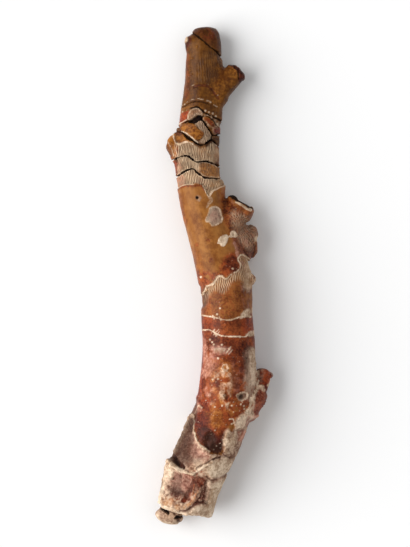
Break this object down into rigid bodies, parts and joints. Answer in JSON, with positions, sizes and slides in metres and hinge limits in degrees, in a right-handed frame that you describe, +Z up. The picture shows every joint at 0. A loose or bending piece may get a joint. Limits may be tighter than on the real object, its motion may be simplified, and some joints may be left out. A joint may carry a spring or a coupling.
{
  "type": "staghorn coral branch",
  "caption": "Loose branch of staghorn coral with cut side stubs, a cracked neck and a pale broken foot, lying on its side.",
  "frame": {"origin": "bottom centre of the branch's box, on the surface it lies on", "axes": "+Y along the branch from its broken foot to its tip, +Z up from the surface it lies on, +X to the side with the shoulder stubs"},
  "size_m": [0.0398, 0.1742, 0.0211],
  "materials": {
    "tip_layer": "smooth and waxy, olive brown",
    "cracked_layer": "finely ribbed tan with dark open cracks",
    "honey_layer": "smooth and waxy, honey orange",
    "red_layer": "mottled red brown, lightly polished",
    "root_crust": "rough, pale pinkish cream"
  },
  "bodies": {
    "root": {"tip_right_lobe": "tip_layer", "tip_left_lobe": "tip_layer", "upper_stub": "tip_layer", "upper_stem": "tip_layer", "left_knob": "cracked_layer", "cracked_neck": "cracked_layer", "shoulder_upper_stub": "honey_layer", "shoulder_lower_stub": "honey_layer", "middle_stem": "honey_layer", "lower_stub": "red_layer", "lower_stem": "red_layer", "foot_lobe": "root_crust", "root_end": "root_crust"}
  },
  "joints": []
}
